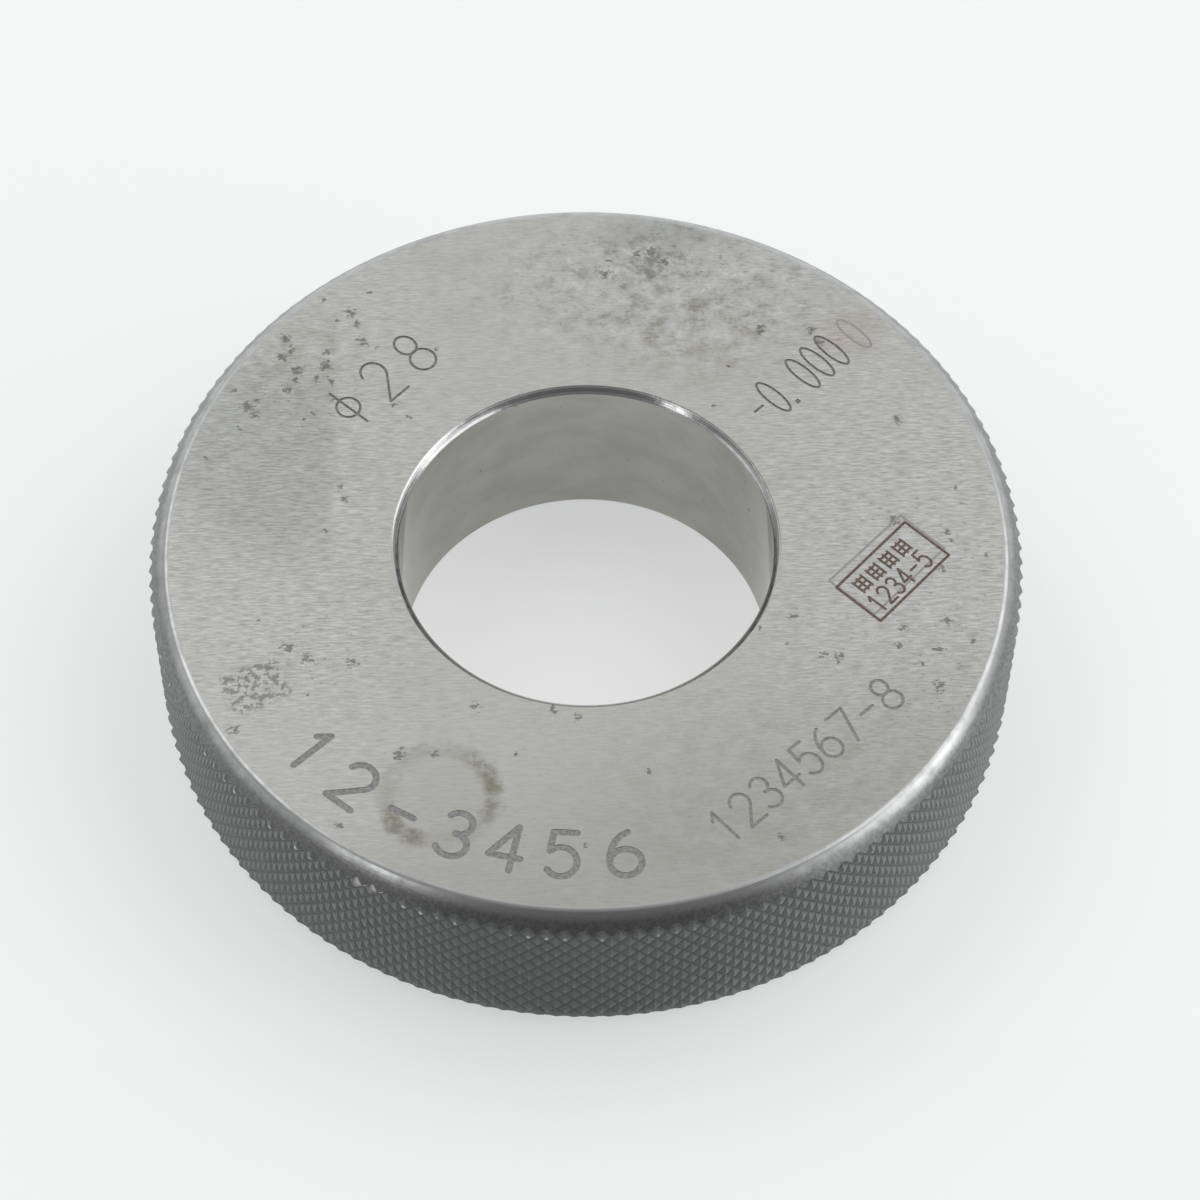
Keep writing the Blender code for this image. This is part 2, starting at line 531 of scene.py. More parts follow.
def setting_ring(materials):
    """The whole ring as one closed surface."""
    mesh = bmesh.new()
    lowest_row, highest_row = add_knurl(mesh)
    lower_bore = add_end(mesh, lowest_row, upper=False)
    upper_bore = add_end(mesh, highest_row, upper=True)
    join_rings(mesh, lower_bore, upper_bore, BORE)
    bmesh.ops.recalc_face_normals(mesh, faces=mesh.faces)
    data = bpy.data.meshes.new("setting_ring")
    mesh.to_mesh(data)
    mesh.free()
    for material in materials:
        data.materials.append(material)
    data.shade_smooth()
    data.set_sharp_from_angle(angle=SHARP_ANGLE)
    ring = bpy.data.objects.new("setting_ring", data)
    bpy.context.collection.objects.link(ring)
    return ring


# Materials

# The span that most of a noise lies in
NOISE_SPAN = (0.3, 0.7)


class Recipe:
    """The nodes of one material, with a short call for each kind. Places on the ring are in millimetres."""

    def __init__(self, name, metallic=1.0):
        self.material = bpy.data.materials.new(name)
        self.material.use_nodes = True
        self.tree = self.material.node_tree
        self.shader = self.tree.nodes["Principled BSDF"]
        self.shader.inputs["Metallic"].default_value = metallic
        place = self.add("TexCoord").outputs["Object"]
        self.place = self.vector("MULTIPLY", place, (1 / MM, 1 / MM, 1 / MM))
        self.flat = self.vector("MULTIPLY", place, (1 / MM, 1 / MM, 0))

    def add(self, kind, inputs=(), **settings):
        node = self.tree.nodes.new("ShaderNode" + kind)
        for name, value in settings.items():
            setattr(node, name, value)
        pairs = inputs.items() if isinstance(inputs, dict) else enumerate(inputs)
        for key, value in pairs:
            self.feed(node.inputs[key], value)
        return node

    def feed(self, socket, value):
        if isinstance(value, bpy.types.NodeSocket):
            self.tree.links.new(value, socket)
        else:
            socket.default_value = value

    def maths(self, operation, *values):
        return self.add("Math", values, operation=operation).outputs[0]

    def vector(self, operation, *values):
        return self.add("VectorMath", values, operation=operation).outputs[0]

    def length(self, *places):
        """How long a vector is, or how far two places are apart."""
        operation = "LENGTH" if len(places) == 1 else "DISTANCE"
        return self.add("VectorMath", places, operation=operation).outputs["Value"]

    def parts(self, place):
        """The three numbers of a place."""
        return self.add("SeparateXYZ", [place]).outputs

    def times(self, first, *others):
        """The product of several values."""
        for other in others:
            first = self.maths("MULTIPLY", first, other)
        return first

    def straight(self, value, slope, start):
        """The value times a slope, from a start."""
        return self.maths("MULTIPLY_ADD", value, slope, start)

    def fade(self, value, start, end, low=0.0, high=1.0):
        """From low to high as the value goes from start to end, with soft ends."""
        inputs = [value, start, end, low, high]
        return self.add("MapRange", inputs, interpolation_type="SMOOTHSTEP").outputs[0]

    def varied(self, noise, low, high):
        """A number that noise moves between two values."""
        return self.fade(noise, *NOISE_SPAN, low, high)

    def centred(self, noise, spread):
        """Noise that goes as far below nothing as above it."""
        return self.straight(noise, spread, -spread / 2)

    def blend(self, share, first, second):
        inputs = {0: share, 6: colour(first), 7: colour(second)}
        return self.add("Mix", inputs, data_type="RGBA").outputs[2]

    def tint(self, share, base, factor):
        """The base times a factor for each of red, green and blue, which keeps its pattern."""
        inputs = {0: share, 6: colour(base), 7: colour(factor)}
        return self.add("Mix", inputs, data_type="RGBA", blend_type="MULTIPLY").outputs[2]

    def scaled(self, scale, shift=(0, 0, 0)):
        return self.vector("MULTIPLY", self.vector("ADD", self.place, shift), scale)

    def noise(self, scale, detail=2.0, rough=0.5, shift=(0, 0, 0)):
        """Noise with so many cells to a millimetre along each axis."""
        inputs = {"Vector": self.scaled(scale, shift), "Scale": 1.0, "Detail": detail, "Roughness": rough}
        return self.add("TexNoise", inputs).outputs[0]

    def stir(self, scale, detail):
        """Noise with three parts, centred on nothing."""
        inputs = {"Vector": self.scaled((scale, scale, 1)), "Scale": 1.0, "Detail": detail}
        colours = self.add("TexNoise", inputs).outputs["Color"]
        return self.vector("SUBTRACT", colours, (0.5, 0.5, 0.5))

    def ragged(self, reach, stir, place=None):
        """A place on the face, moved about at random, which gives what is drawn there ragged edges."""
        offset = self.vector("MULTIPLY", stir, (reach, reach, 0))
        return self.vector("ADD", place or self.flat, offset)

    def distance(self, x, y, across=1.0, up=1.0, place=None):
        """Distance on the face from (x, y), in units of an oval's half-axes."""
        moved = self.vector("ADD", place or self.flat, (-x, -y, 0))
        return self.length(self.vector("MULTIPLY", moved, (1 / across, 1 / up, 0)))

    def oval(self, x, y, across, up, softness=0.5, place=None):
        """1 inside an oval, fading to 0 outside it."""
        return self.fade(self.distance(x, y, across, up, place), 1 + softness, 1 - softness)

    def radius(self):
        return self.length(self.flat)

    def depth(self):
        """How far a place is under the nearer of the two faces."""
        height = self.parts(self.place)[2]
        from_middle = self.maths("ABSOLUTE", self.maths("SUBTRACT", height, THICKNESS / 2))
        return self.maths("SUBTRACT", THICKNESS / 2, from_middle)

    def bump(self, height, distance):
        inputs = {"Height": height, "Distance": distance * MM}
        self.feed(self.shader.inputs["Normal"], self.add("Bump", inputs).outputs[0])

    def finish(self, base, roughness):
        self.feed(self.shader.inputs["Base Color"], colour(base))
        self.feed(self.shader.inputs["Roughness"], roughness)
        return self.material


def colour(value):
    if isinstance(value, bpy.types.NodeSocket):
        return value
    return (*value, 1.0)


# The ground steel, from its darkest lines to its lightest
GROUND_DARK = (0.36, 0.361, 0.348)
GROUND_LIGHT = (0.565, 0.566, 0.549)
LINE_BUMP = 0.003
LINES_SHARE = 0.72
DASHES_SHARE = 0.28

# How strongly the ground lines show, and the places in millimetres between which that changes
LINES_AT_MIDDLE = 0.75
LINES_AT_SIDES = 1.5
LINES_AT_FRONT = 0.45
LINES_AT_BACK = 0.75
TOWARDS_SIDES = (8, 19)
TOWARDS_FRONT = (-22, -6)
TOWARDS_BACK = (5, 22)

# Noise cells to a millimetre across, up and through the face
LINES_GRAIN = (0.9, 7.5, 1)
DASHES_GRAIN = (0.45, 2.2, 1)
CLOUD_GRAIN = (0.16, 0.2, 1)
MOTTLE_GRAIN = (0.6, 0.65, 1)
CRUMB_GRAIN = (2.0, 2.0, 1)
PIT_GRAIN = (2.8, 4.4, 1)
DUST_GRAIN = (1.8, 4.2, 1)

SPECK_DARK = (0.11, 0.11, 0.095)
CLOUD_PALE = (0.58, 0.58, 0.575)

# Stains, as what they leave of red, green and blue
STAIN_YELLOW = (0.83, 0.825, 0.745)
STAIN_BLUE = (0.81, 0.825, 0.835)
STAIN_BROWN = (0.56, 0.54, 0.48)
STAIN_RED = (0.90, 0.85, 0.78)
STAIN_GREY = (0.66, 0.665, 0.665)

# Painted shade makes the upper face darker towards its front right: by how much, along what slope, and
# between what places
PAINTED_FRONT_SHADE = (0.84, 0.84, 0.83)
PAINTED_SHADE_SLOPE = 0.35
PAINTED_SHADE_START = -14
PAINTED_SHADE_END = -30

# Stains of the upper face, as ovals: centre, half-width and half-height, and the strength of a yellow one
YELLOW_STAINS = ((9.0, 19.0, 7, 5, 0.8), (-21.5, 17, 4, 4, 0.8), (15, -21, 14, 9, 0.45))
RED_STAIN = (20.6, 19.2, 2.4, 2.2)
CLOUDED_AREA = (6, 24.5, 13, 6.5)
DARK_CLUSTER = (5.2, 26.2, 3.2, 1.9)
BLUE_EDGE = (6, 29.4, 5, 1.4)
BLUE_PATCH = (-24, 8, 7.5, 8.5)
DRIED_DROP = (-10.8, -21.7, 3.9, 3.9)
DROP_STRONG_SIDES = ((-7.6, -20.9, 2.2, 3.2), (-13.2, -24.2, 2.4, 2.0))

RED_STRENGTH = 0.7
CLOUD_DARK_STRENGTH = 0.85
CLOUD_PALE_STRENGTH = 0.7
CLUSTER_STRENGTH = 0.8
BLUE_EDGE_STRENGTH = 0.9

# The blue patch ends along a ragged line at its right: where it has ended, and where it is still at its full
BLUE_END = -16.4
BLUE_FULL = -18.2

# Distances, in the drop's radius, between which its rim rises and falls again
RIM_RISE = (0.74, 0.98)
RIM_FALL = (1.26, 1.04)

# The worn mark's centre, turn, half-width, half-height and the width of its soft edge
WORN_MARK = (-24.2, -12.4)
WORN_MARK_TURN = radians(-22)
WORN_MARK_REACH = (2.6, 2.1)
WORN_MARK_EDGE = 0.7
WORN_MARK_STRENGTH = 0.6

# How far the edges of what is on the face are stirred about
STAIN_STIR = 4.0
DROP_STIR = 1.4
MARK_STIR = 1.0
SPECK_STIR = 1.1

SPECK_STRENGTH = 0.7
PIT_SPREAD = 3.6

# Rust specks on the upper face: the reach of one group, and the places of its specks
SPECKS = {
    0.32: ((-18.9, 20.9), (-20.1, 23.0), (-16.4, 23.7), (-15.8, 18.4), (-26.7, 14.2), (-24.9, 13.3),
           (-19.1, 13.3), (-20.7, 12.2), (-21.1, 11.5), (-26.1, 10.8), (-28.6, 8.1), (-11.3, 18.1),
           (-13.3, 11.7), (11.1, 16.2), (2.2, 26.7), (9.9, 12.2), (-19.4, 1.1), (-20.4, -13.1),
           (-24.2, -6.8), (-5.3, -18.3), (12.6, -7.8), (29.7, -1.5), (28.2, -9.2), (24.3, -11.0),
           (14.7, -9.2), (27.8, 4.6), (-0.3, -26.0)),
    0.56: ((-17.5, 20.6), (-22.3, 18.1), (-23.2, 17.4), (-19.7, 17.9), (-22.0, 15.3), (-20.4, 15.4),
           (-19.2, 15.2), (-14.4, 12.9), (-18.4, 5.2), (-17.9, 4.1), (6.5, 26.3), (4.4, 27.2),
           (18.3, 18.3), (23.8, 11.0), (23.2, -8.0), (15.2, -6.8), (17.2, -10.2), (27.2, -0.3), (26.3, -2.6),
           (-2.6, -14.5), (-0.9, -15.3), (-17.9, -24.2), (-11.2, -18.3), (13.4, -25.5), (26.9, 0.5),
           (22.6, -9.4), (4.2, -20.0)),
    0.8: ((-17.8, 21.7), (-16.9, 18.9), (-22.8, 19.2), (-19.8, 16.7), (-21.9, 16.1), (-22.6, 14.4),
          (-25.6, 12.8), (-24.9, 12.1), (5.4, 27.3), (1.9, 25.3),
          (13.8, 19.8), (17.6, 19.6), (23.1, 1.6), (26.3, -7.4), (18.3, -10.2), (25.6, -9.9),
          (25.4, -13.0), (-8.2, -14.3), (-13.7, -18.4), (-21.9, -9.0), (-20.5, -10.0), (-17.2, -10.5),
          (-25.5, -16.1)),
}

# Parts of the upper face with more wear than the rest: centre, half-width and half-height
WORN_AREAS = ((25, -5, 7, 14), (-21, 15, 6, 7), (-20, -9, 6, 4), (6, 25, 12, 6))
LEAST_WEAR = 0.3


def ground_steel(recipe):
    """Surface-ground steel with short straight lines along X. Returns its colour and the clouds in it."""
    across, up, _ = recipe.parts(recipe.place)
    fine = recipe.noise(LINES_GRAIN, detail=2, rough=0.65)
    dashes = recipe.noise(DASHES_GRAIN, detail=4, rough=0.75, shift=(40, 10, 0))
    lines = recipe.maths("ADD", recipe.times(fine, LINES_SHARE), recipe.times(dashes, DASHES_SHARE))
    aside = recipe.maths("ABSOLUTE", across)
    strength = recipe.times(recipe.fade(aside, *TOWARDS_SIDES, LINES_AT_MIDDLE, LINES_AT_SIDES),
                            recipe.fade(up, *TOWARDS_FRONT, LINES_AT_FRONT, 1),
                            recipe.fade(up, *TOWARDS_BACK, 1, LINES_AT_BACK))
    contrast = recipe.straight(recipe.maths("SUBTRACT", lines, 0.5), strength, 0.5)
    base = recipe.blend(recipe.fade(contrast, 0.25, 0.75), GROUND_DARK, GROUND_LIGHT)
    cloud = recipe.noise(CLOUD_GRAIN, detail=4, rough=0.65)
    base = recipe.tint(recipe.fade(cloud, 0.4, 0.75, 0, 0.35), base, STAIN_YELLOW)
    recipe.bump(fine, LINE_BUMP)
    return base, cloud


def ground_roughness(recipe, cloud):
    return recipe.varied(cloud, 0.34, 0.44)


def ground_face():
    """The upper face, with its water stains, a worn mark and rust specks, and painted shade that darkens its
    front right.
    """
    recipe = Recipe("ground_face")
    base, cloud = ground_steel(recipe)
    across, up, _ = recipe.parts(recipe.place)
    # Painted shade: darker towards the front right
    slanted = recipe.straight(across, -PAINTED_SHADE_SLOPE, up)
    base = recipe.tint(recipe.fade(slanted, PAINTED_SHADE_START, PAINTED_SHADE_END), base, PAINTED_FRONT_SHADE)
    stir = recipe.stir(1.2, 2)
    base = face_stains(recipe, base, stir)
    base = worn_mark(recipe, base, stir)
    base = face_specks(recipe, base, stir)
    base = faint_specks(recipe, base, WORN_AREAS)
    return recipe.finish(base, ground_roughness(recipe, cloud))


def ground_underside():
    """The lower face: ground, with faint specks only."""
    recipe = Recipe("ground_underside")
    base, cloud = ground_steel(recipe)
    base = faint_specks(recipe, base, ())
    return recipe.finish(base, ground_roughness(recipe, cloud))


def face_stains(recipe, base, stir):
    """The cloudy stains at the top, the blue patch at the left and the ring that a drop of water left."""
    mottle = recipe.noise(MOTTLE_GRAIN, detail=5, rough=0.72, shift=(7, 3, 0))
    patchy = recipe.fade(mottle, 0.4, 0.62)
    ragged = recipe.ragged(STAIN_STIR, recipe.stir(0.4, 2))
    for x, y, across, up, strength in YELLOW_STAINS:
        stain = recipe.times(recipe.oval(x, y, across, up, place=ragged), patchy, strength)
        base = recipe.tint(stain, base, STAIN_YELLOW)
    red = recipe.oval(*RED_STAIN, place=ragged)
    base = recipe.tint(recipe.times(red, RED_STRENGTH), base, STAIN_RED)
    clouded = recipe.oval(*CLOUDED_AREA, place=ragged)
    dark = recipe.times(clouded, recipe.fade(mottle, 0.49, 0.66), CLOUD_DARK_STRENGTH)
    base = recipe.tint(dark, base, STAIN_GREY)
    pale = recipe.times(clouded, recipe.fade(mottle, 0.47, 0.33), CLOUD_PALE_STRENGTH)
    base = recipe.blend(pale, base, CLOUD_PALE)
    cluster = recipe.oval(*DARK_CLUSTER, place=ragged)
    cluster = recipe.times(cluster, recipe.fade(mottle, 0.42, 0.58), CLUSTER_STRENGTH)
    base = recipe.tint(cluster, base, STAIN_GREY)
    blue = recipe.oval(*BLUE_EDGE, place=ragged)
    base = recipe.tint(recipe.times(blue, BLUE_EDGE_STRENGTH), base, STAIN_BLUE)
    base = blue_patch(recipe, base, mottle, ragged)
    return water_ring(recipe, base, mottle, stir)


def blue_patch(recipe, base, mottle, ragged):
    across = recipe.parts(ragged)[0]
    edge = recipe.maths("ADD", across, recipe.times(mottle, 3.0))
    blue = recipe.times(recipe.oval(*BLUE_PATCH, 0.45, ragged), recipe.fade(edge, BLUE_END, BLUE_FULL))
    return recipe.tint(recipe.times(blue, recipe.fade(mottle, 0.35, 0.6, 0.6, 1.0)), base, STAIN_BLUE)


def water_ring(recipe, base, mottle, stir):
    """A dried drop: strong on its right and at its lower left, and broken up elsewhere."""
    water = recipe.distance(*DRIED_DROP, recipe.ragged(DROP_STIR, stir))
    rim = recipe.times(recipe.fade(water, *RIM_RISE), recipe.fade(water, *RIM_FALL))
    right_side, lower_left = [recipe.oval(*side) for side in DROP_STRONG_SIDES]
    broken = recipe.maths("MAXIMUM", recipe.maths("MAXIMUM", right_side, lower_left), 0.35)
    marked = recipe.times(rim, broken, recipe.fade(mottle, 0.36, 0.56, 0.3, 1.0))
    base = recipe.tint(marked, base, STAIN_BROWN)
    return recipe.tint(recipe.fade(water, 1.1, 0.9, 0, 0.3), base, STAIN_YELLOW)


def worn_mark(recipe, base, stir):
    """What wear has left of a mark: dark crumbs over a slanting patch."""
    crumbs = recipe.noise(CRUMB_GRAIN, detail=3, rough=0.65, shift=(3, 9, 0))
    inputs = {"Vector": recipe.flat, "Center": (*WORN_MARK, 0), "Angle": WORN_MARK_TURN}
    turned = recipe.add("VectorRotate", inputs).outputs[0]
    parts = recipe.parts(recipe.ragged(MARK_STIR, stir, turned))
    worn = recipe.fade(crumbs, 0.47, 0.56)
    for part, middle, reach in zip(parts, WORN_MARK, WORN_MARK_REACH):
        aside = recipe.maths("ABSOLUTE", recipe.maths("SUBTRACT", part, middle))
        worn = recipe.times(worn, recipe.fade(aside, reach, reach - WORN_MARK_EDGE))
    return recipe.blend(recipe.times(worn, WORN_MARK_STRENGTH), base, SPECK_DARK)


def face_specks(recipe, base, stir):
    """Small pits and rust specks at the known places."""
    pits = recipe.noise(PIT_GRAIN, detail=4, rough=0.7, shift=(3, 9, 0))
    ragged = recipe.ragged(SPECK_STIR, stir)
    near = 0.0
    for reach, places in SPECKS.items():
        nearest = reach
        for x, y in places:
            nearest = recipe.maths("MINIMUM", nearest, recipe.length(ragged, (x, y, 0)))
        near = recipe.maths("MAXIMUM", near, recipe.straight(nearest, -1 / reach, 1.0))
    field = recipe.maths("ADD", recipe.times(near, 1.1), recipe.centred(pits, PIT_SPREAD))
    specks = recipe.times(recipe.fade(field, 0.5, 0.8), recipe.fade(near, 0, 0.2), SPECK_STRENGTH)
    return recipe.blend(specks, base, SPECK_DARK)


def faint_specks(recipe, base, worn_areas):
    """Faint specks everywhere, and more of them over the worn areas."""
    worn = LEAST_WEAR
    for area in worn_areas:
        worn = recipe.maths("MAXIMUM", worn, recipe.oval(*area))
    dust = recipe.noise(DUST_GRAIN, detail=2, rough=0.65, shift=(21, 5, 0))
    faint = recipe.times(recipe.fade(dust, 0.6, 0.7), worn)
    return recipe.tint(faint, base, STAIN_GREY)


def ring_lines(recipe, cells):
    """Lines round the axis, as a turning tool leaves them, with so many cells to a millimetre."""
    height = recipe.parts(recipe.place)[2]
    around = recipe.add("CombineXYZ", [recipe.radius(), height, 0.0]).outputs[0]
    return recipe.add("TexNoise", {"Vector": around, "Scale": cells, "Detail": 2.0}).outputs[0]


# The outer chamfer: lighter next to the face, clouded, and darker towards the knurl
NEAR_FACE_DARK = (0.44, 0.445, 0.445)
NEAR_FACE_LIGHT = (0.51, 0.515, 0.515)
CLOUDED_GREY = (0.235, 0.24, 0.235)
NEAR_KNURL_DARK = (0.225, 0.228, 0.23)
NEAR_KNURL_LIGHT = (0.295, 0.298, 0.30)
TURNED_BUMP = 0.006

# Depths under the face between which the chamfer goes over from its lighter tone to its darker one
DARKENING_START = 0.2
DARKENING_FULL = 0.75


def turned_edge():
    """The turned chamfers, lighter next to the face and darker towards the knurl."""
    recipe = Recipe("turned_edge")
    rings = ring_lines(recipe, 7.0)
    cloud = recipe.noise((0.7, 0.7, 0.7), detail=3, rough=0.65)
    base = recipe.blend(recipe.fade(rings, 0.3, 0.7), NEAR_FACE_DARK, NEAR_FACE_LIGHT)
    base = recipe.blend(recipe.fade(cloud, 0.35, 0.75, 0, 0.4), base, CLOUDED_GREY)
    ragged_depth = recipe.maths("ADD", recipe.depth(), recipe.centred(cloud, 0.4))
    darkening = recipe.fade(ragged_depth, DARKENING_START, DARKENING_FULL)
    grain = recipe.noise((3.5, 3.5, 3.5), detail=2, rough=0.6)
    near_knurl = recipe.blend(recipe.fade(grain, 0.35, 0.65), NEAR_KNURL_DARK, NEAR_KNURL_LIGHT)
    base = recipe.blend(darkening, base, near_knurl)
    lines_and_clouds = recipe.maths("ADD", rings, cloud)
    recipe.bump(recipe.maths("ADD", lines_and_clouds, recipe.times(grain, darkening)), TURNED_BUMP)
    return recipe.finish(base, recipe.varied(cloud, 0.28, 0.38))


BORE_EDGE_DARK = (0.30, 0.303, 0.303)
BORE_EDGE_LIGHT = (0.64, 0.645, 0.64)


def turned_bore_edge():
    """The chamfers of the bore, which shine more than the outer ones and show the lines of the tool."""
    recipe = Recipe("turned_bore_edge", metallic=0.85)
    rings = ring_lines(recipe, 8.0)
    chatter = recipe.noise((1.5, 1.5, 1.5), detail=2)
    base = recipe.blend(recipe.fade(rings, 0.35, 0.65), BORE_EDGE_DARK, BORE_EDGE_LIGHT)
    recipe.bump(recipe.times(rings, recipe.fade(chatter, 0.35, 0.6, 0.5, 1.0)), TURNED_BUMP)
    return recipe.finish(base, recipe.varied(chatter, 0.14, 0.24))


LAPPED_DARK = (0.365, 0.358, 0.33)
LAPPED_LIGHT = (0.425, 0.417, 0.387)


def lapped_bore():
    """The lapped bore, close to a mirror, with a few specks."""
    recipe = Recipe("lapped_bore")
    recipe.shader.inputs["Specular Tint"].default_value = (0.85, 0.85, 0.85, 1)
    cloud = recipe.noise((0.25, 0.25, 0.35), detail=3)
    base = recipe.blend(recipe.fade(cloud, 0.3, 0.7), LAPPED_DARK, LAPPED_LIGHT)
    specks = recipe.fade(recipe.noise((1.5, 1.5, 1.5), detail=1, shift=(5, 2, 8)), 0.76, 0.8)
    base = recipe.blend(recipe.times(specks, 0.5), base, SPECK_DARK)
    return recipe.finish(base, recipe.varied(cloud, 0.07, 0.12))


# Tones of the knurl: darker in the grooves, partly dirt and partly painted shade, and lighter at the points,
# partly wear and partly a painted highlight
KNURL_VALLEY = (0.21, 0.214, 0.216)
KNURL_FLANK = (0.263, 0.268, 0.27)
KNURL_TIP = (0.345, 0.35, 0.35)
KNURL_DARK = (0.24, 0.243, 0.245)
WORN_AND_HIGHLIGHT_BRIGHT = (0.85, 0.85, 0.83)

# The depths under a face between which the ends of the knurl turn darker
KNURL_LIGHTER = 1.7
KNURL_DARKER = 1.4

# The heights between which points of the knurl turn bright, partly as wear and partly as a painted highlight
BRIGHT_TIPS_START = 12.4
BRIGHT_TIPS_FULL = 13.1

# Two places at the upper end of the knurl where knocks have laid the steel bare, and how far each reaches
NICKS = ((-16.4, -27.95, 13.4), (-15.25, -28.6, 13.5))
NICK_OUTER = 0.6
NICK_INNER = 0.35


def knurled_steel():
    """Rolled knurl, darkened by use, with grooves darker partly as dirt and partly as painted shade. Points
    at its upper end are bright, partly worn and partly a painted highlight, most of them at the left.
    """
    recipe = Recipe("knurled_steel", metallic=0.35)
    recipe.shader.inputs["Specular Tint"].default_value = (0.4, 0.4, 0.4, 1)
    grain = recipe.noise((3, 3, 3), detail=2, rough=0.6)
    share = recipe.maths("DIVIDE", recipe.maths("SUBTRACT", recipe.radius(), GROOVE_RADIUS), KNURL_DEPTH)
    # Darker towards the grooves, partly dirt and partly painted shade
    dirt_and_shade = recipe.maths("ADD", share, recipe.centred(grain, 0.5))
    base = recipe.blend(recipe.fade(dirt_and_shade, 0.0, 0.4), KNURL_VALLEY, KNURL_FLANK)
    # Lighter points, partly wear and partly a painted highlight
    tips = recipe.times(recipe.fade(share, 0.6, 0.9), recipe.fade(grain, 0.3, 0.7))
    base = recipe.blend(tips, base, KNURL_TIP)
    base = recipe.blend(recipe.fade(recipe.depth(), KNURL_LIGHTER, KNURL_DARKER), base, KNURL_DARK)
    across, _, height = recipe.parts(recipe.place)
    # Bright points at the upper end, most at the left: partly wear, partly a painted highlight
    bright_tips = recipe.times(recipe.fade(height, BRIGHT_TIPS_START, BRIGHT_TIPS_FULL), recipe.fade(share, 0.6, 0.8))
    bright_tips = recipe.times(bright_tips, recipe.fade(recipe.noise((1.3, 1.3, 1.3), detail=1), 0.46, 0.54))
    base = recipe.blend(recipe.times(bright_tips, recipe.fade(across, 10, -10, 0.2, 1.0)), base, WORN_AND_HIGHLIGHT_BRIGHT)
    for nick in NICKS:
        apart = recipe.length(recipe.place, nick)
        base = recipe.blend(recipe.fade(apart, NICK_OUTER, NICK_INNER), base, WORN_AND_HIGHLIGHT_BRIGHT)
    return recipe.finish(base, recipe.varied(grain, 0.40, 0.50))


# The bottoms of the marks: dark and light tone, roughness and metallic value
MARK_LOOKS = {
    "engraved_figure": ((0.15, 0.15, 0.145), (0.24, 0.24, 0.23), 0.5, 0.85),
    "stamped_figure": ((0.20, 0.202, 0.195), (0.285, 0.287, 0.277), 0.45, 1.0),
    "laser_brown": ((0.085, 0.06, 0.045), (0.16, 0.12, 0.09), 0.6, 0.3),
    "faded_mark": ((0.27, 0.265, 0.25), (0.34, 0.335, 0.32), 0.42, 1.0),
}
ROUGHNESS_SPREAD = 0.06


def marked_steel(name, dark, light, roughness, metallic):
    """The bottom of a mark: a plain tone, mottled as the tool or the laser left it."""
    recipe = Recipe(name, metallic)
    grain = recipe.noise((4, 4, 4), detail=3)
    base = recipe.blend(recipe.fade(grain, 0.35, 0.65), dark, light)
    smoothest = roughness - ROUGHNESS_SPREAD
    roughest = roughness + ROUGHNESS_SPREAD
    return recipe.finish(base, recipe.varied(grain, smoothest, roughest))


def ring_materials():
    """One material for each slot, in the slots' order."""
    surfaces = (ground_face, ground_underside, turned_edge, turned_bore_edge, lapped_bore, knurled_steel)
    materials = [surface() for surface in surfaces]
    return materials + [marked_steel(name, *look) for name, look in MARK_LOOKS.items()]


# Camera, floor and light

CAMERA_AZIMUTH = radians(-1.479)
CAMERA_ELEVATION = radians(56.461)
CAMERA_ROLL = radians(0.642)
CAMERA_PLACE = Vector((-3.261, -167.674, 260.194)) * MM
CAMERA_LENS = 119.87
CAMERA_SENSOR = 36
CAMERA_CLIP = 0.01


def camera():
    back = Vector((sin(CAMERA_AZIMUTH) * cos(CAMERA_ELEVATION),
                   -cos(CAMERA_AZIMUTH) * cos(CAMERA_ELEVATION),
                   sin(CAMERA_ELEVATION)))
    level = Vector((cos(CAMERA_AZIMUTH), sin(CAMERA_AZIMUTH), 0))
    upright = back.cross(level)
    right = level * cos(CAMERA_ROLL) + upright * sin(CAMERA_ROLL)
    up = upright * cos(CAMERA_ROLL) - level * sin(CAMERA_ROLL)
    data = bpy.data.cameras.new("camera")
    data.lens = CAMERA_LENS
    data.sensor_width = CAMERA_SENSOR
    data.clip_start = CAMERA_CLIP
    view = bpy.data.objects.new("camera", data)
    view.matrix_world = Matrix.Translation(CAMERA_PLACE) @ Matrix((right, up, back)).transposed().to_4x4()
    bpy.context.collection.objects.link(view)
    bpy.context.scene.camera = view


FLOOR_SIZE = 8
FLOOR_COLOUR = (0.91, 0.918, 0.918)
FLOOR_ROUGHNESS = 0.6
FLOOR_GLOW = (0.98, 0.995, 0.99)
GLOW_SHARE = 0.5


def floor():
    """A plain pale table top."""
    bpy.ops.mesh.primitive_plane_add(size=FLOOR_SIZE, location=(0, 0, 0))
    table = bpy.context.object
    table.name = "floor"
    recipe = Recipe("pale_table", metallic=0.0)
    table.data.materials.append(recipe.finish(FLOOR_COLOUR, FLOOR_ROUGHNESS))
    lift_shadows(recipe)


def lift_shadows(recipe):
    """What the camera, metal and glass see of the floor is half a white ground that glows by itself."""
    path = recipe.add("LightPath").outputs
    seen = recipe.maths("MAXIMUM", path["Is Camera Ray"], path["Is Glossy Ray"])
    seen = recipe.maths("MAXIMUM", seen, path["Is Transmission Ray"])
    glow = recipe.add("Emission", {"Color": colour(FLOOR_GLOW), "Strength": 1.0}).outputs[0]
    share = recipe.maths("MULTIPLY", seen, GLOW_SHARE)
    mixed = recipe.add("MixShader", [share, recipe.shader.outputs[0], glow])
    output = recipe.tree.nodes["Material Output"]
    recipe.tree.links.new(mixed.outputs[0], output.inputs["Surface"])


# The dark card: its near and far edge, half its width, and its height over the table, in metres
CARD_NEAR = -34.0 * MM
CARD_FAR = -1.2
CARD_HALF_WIDTH = 1.2
CARD_HEIGHT = 0.2 * MM
CARD_GREY = (0.22, 0.22, 0.22)


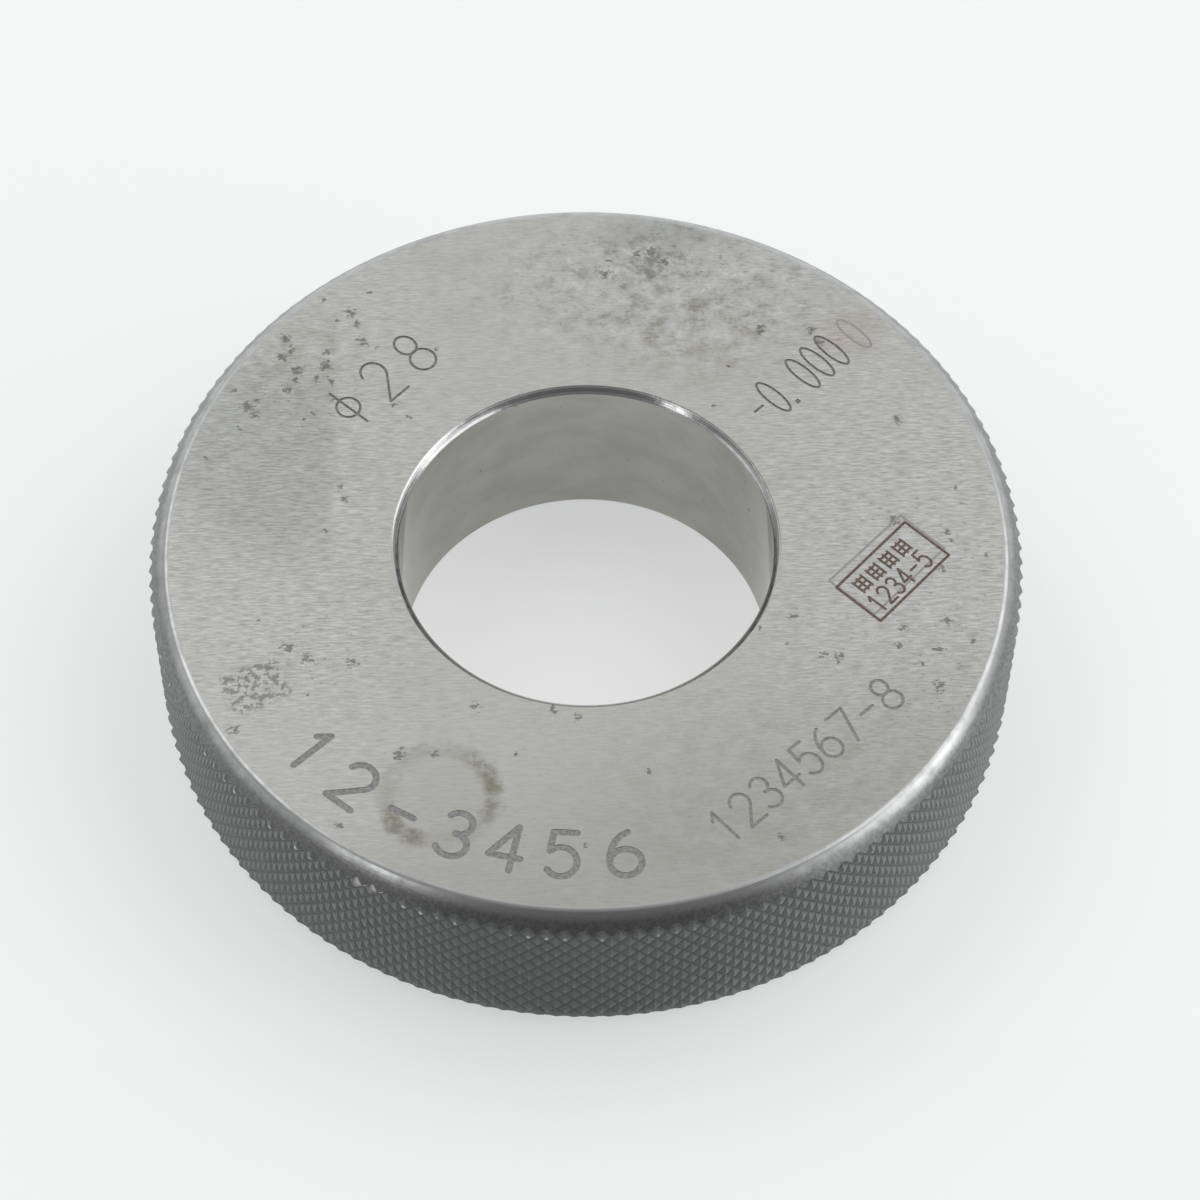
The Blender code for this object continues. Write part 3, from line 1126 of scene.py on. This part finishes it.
def grey_card():
    """A dark card on the table in front of the ring, which only reflections show."""
    ends = ((-CARD_HALF_WIDTH, CARD_FAR), (CARD_HALF_WIDTH, CARD_FAR),
            (CARD_HALF_WIDTH, CARD_NEAR), (-CARD_HALF_WIDTH, CARD_NEAR))
    data = bpy.data.meshes.new("grey_card")
    data.from_pydata([(x, y, CARD_HEIGHT) for x, y in ends], [], [(0, 1, 2, 3)])
    recipe = Recipe("grey_card", metallic=0.0)
    data.materials.append(recipe.finish(CARD_GREY, 1.0))
    card = bpy.data.objects.new("grey_card", data)
    bpy.context.collection.objects.link(card)
    card.visible_camera = False
    card.visible_diffuse = False
    card.visible_transmission = False
    card.visible_shadow = False


# Lamps: place, width and height in metres, and the brightness of the surface, 1 for white
LAMPS = {
    "left_softbox": ((-0.42, 0.22, 0.62), 0.6, 0.5, 1.3),
    "right_softbox": ((0.52, 0.12, 0.52), 0.7, 0.8, 1.4),
    "left_lamp": ((-0.50, -0.45, 0.43), 0.14, 0.17, 3.6),
    "left_reflector": ((-0.81, 0.02, 0.22), 0.62, 0.2, 0.64),
    "right_lamp": ((0.70, -0.27, 0.28), 0.62, 0.3, 1.5),
}


def softbox(name, place, wide, high, level):
    """A rectangular lamp that faces the ring."""
    data = bpy.data.lights.new(name, "AREA")
    data.shape = "RECTANGLE"
    data.size = wide
    data.size_y = high
    data.energy = level * pi * wide * high
    lamp = bpy.data.objects.new(name, data)
    lamp.location = place
    lamp.rotation_euler = Vector(place).to_track_quat("Z", "Y").to_euler()
    bpy.context.collection.objects.link(lamp)


# The room: the level of its sides, of its brightest part behind the ring, and the share that is left in front
ROOM_SIDES = 0.36
ROOM_BACK = 1.1
ROOM_FRONT_SHARE = 0.46

# The middle of the bright part and of the dark part, and the cosines between which each takes over
BRIGHT_WAY = (0, 0.98, 0.2)
BRIGHT_REACH = (0.3, 1.0)
DARK_WAY = (0, -0.92, 0.35)
DARK_REACH = (0.68, 0.92)


def facing(tree, way, reach, levels):
    """A level that changes softly with how closely a direction of the room faces a given way."""
    direction = tree.nodes.new("ShaderNodeTexCoord")
    towards = tree.nodes.new("ShaderNodeVectorMath")
    towards.operation = "DOT_PRODUCT"
    towards.inputs[1].default_value = Vector(way).normalized()
    shade = tree.nodes.new("ShaderNodeMapRange")
    shade.interpolation_type = "SMOOTHSTEP"
    for name, value in zip(("From Min", "From Max", "To Min", "To Max"), (*reach, *levels)):
        shade.inputs[name].default_value = value
    tree.links.new(direction.outputs["Generated"], towards.inputs[0])
    tree.links.new(towards.outputs["Value"], shade.inputs["Value"])
    return shade.outputs[0]


def surroundings():
    """A pale room: bright behind the ring, dimmer at its sides, and dark in front."""
    world = bpy.data.worlds.new("room")
    bpy.context.scene.world = world
    world.use_nodes = True
    tree = world.node_tree
    strength = tree.nodes.new("ShaderNodeMath")
    strength.operation = "MULTIPLY"
    back = facing(tree, BRIGHT_WAY, BRIGHT_REACH, (ROOM_SIDES, ROOM_BACK))
    front = facing(tree, DARK_WAY, DARK_REACH, (1.0, ROOM_FRONT_SHARE))
    tree.links.new(back, strength.inputs[0])
    tree.links.new(front, strength.inputs[1])
    tree.links.new(strength.outputs[0], tree.nodes["Background"].inputs["Strength"])
    tree.nodes["Background"].inputs["Color"].default_value = (1, 1, 1, 1)


def light():
    surroundings()
    for name, lamp in LAMPS.items():
        softbox(name, *lamp)


bpy.context.scene.view_settings.view_transform = "Standard"
camera()
floor()
grey_card()
light()
ring = setting_ring(ring_materials())
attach(ring, "root")
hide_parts("gauge_ring")
